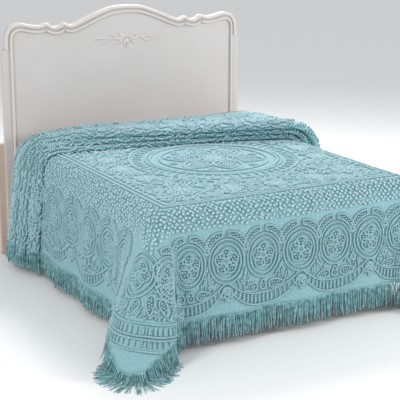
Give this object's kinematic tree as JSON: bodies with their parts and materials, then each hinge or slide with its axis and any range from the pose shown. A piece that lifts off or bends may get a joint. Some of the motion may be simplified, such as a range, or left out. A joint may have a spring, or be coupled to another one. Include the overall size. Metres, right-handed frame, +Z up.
{
  "type": "chenille bedspread on a bed",
  "caption": "Fringed chenille bedspread hanging over a double bed to the floor at its foot corners, folded back at the head, with a plain mattress, base and shaped headboard.",
  "frame": {"origin": "on the floor under the middle of the bed, on the flat bottom of the plinth", "axes": "+X across the bed to the right as seen from its foot, +Y along the bed towards its head, +Z up"},
  "size_m": [2.2451, 2.3307, 1.506],
  "materials": {
    "chenille": "tufted cotton chenille in light aqua",
    "fringe": "twisted cotton yarn in light aqua",
    "bed_linen": "cream woven cotton",
    "bed_board": "painted board",
    "headboard": "off-white satin paint on wood"
  },
  "bodies": {
    "root": {"bedspread": "chenille", "fringe_left": "fringe", "fringe_right": "fringe", "fringe_foot": "fringe", "fringe_corner_left": "fringe", "fringe_corner_right": "fringe", "mattress": "bed_linen", "box_spring": "bed_linen", "plinth": "bed_board", "headboard_panel": "headboard", "headboard_moulding": "headboard", "headboard_leg_left": "headboard", "headboard_leg_right": "headboard"}
  },
  "joints": []
}
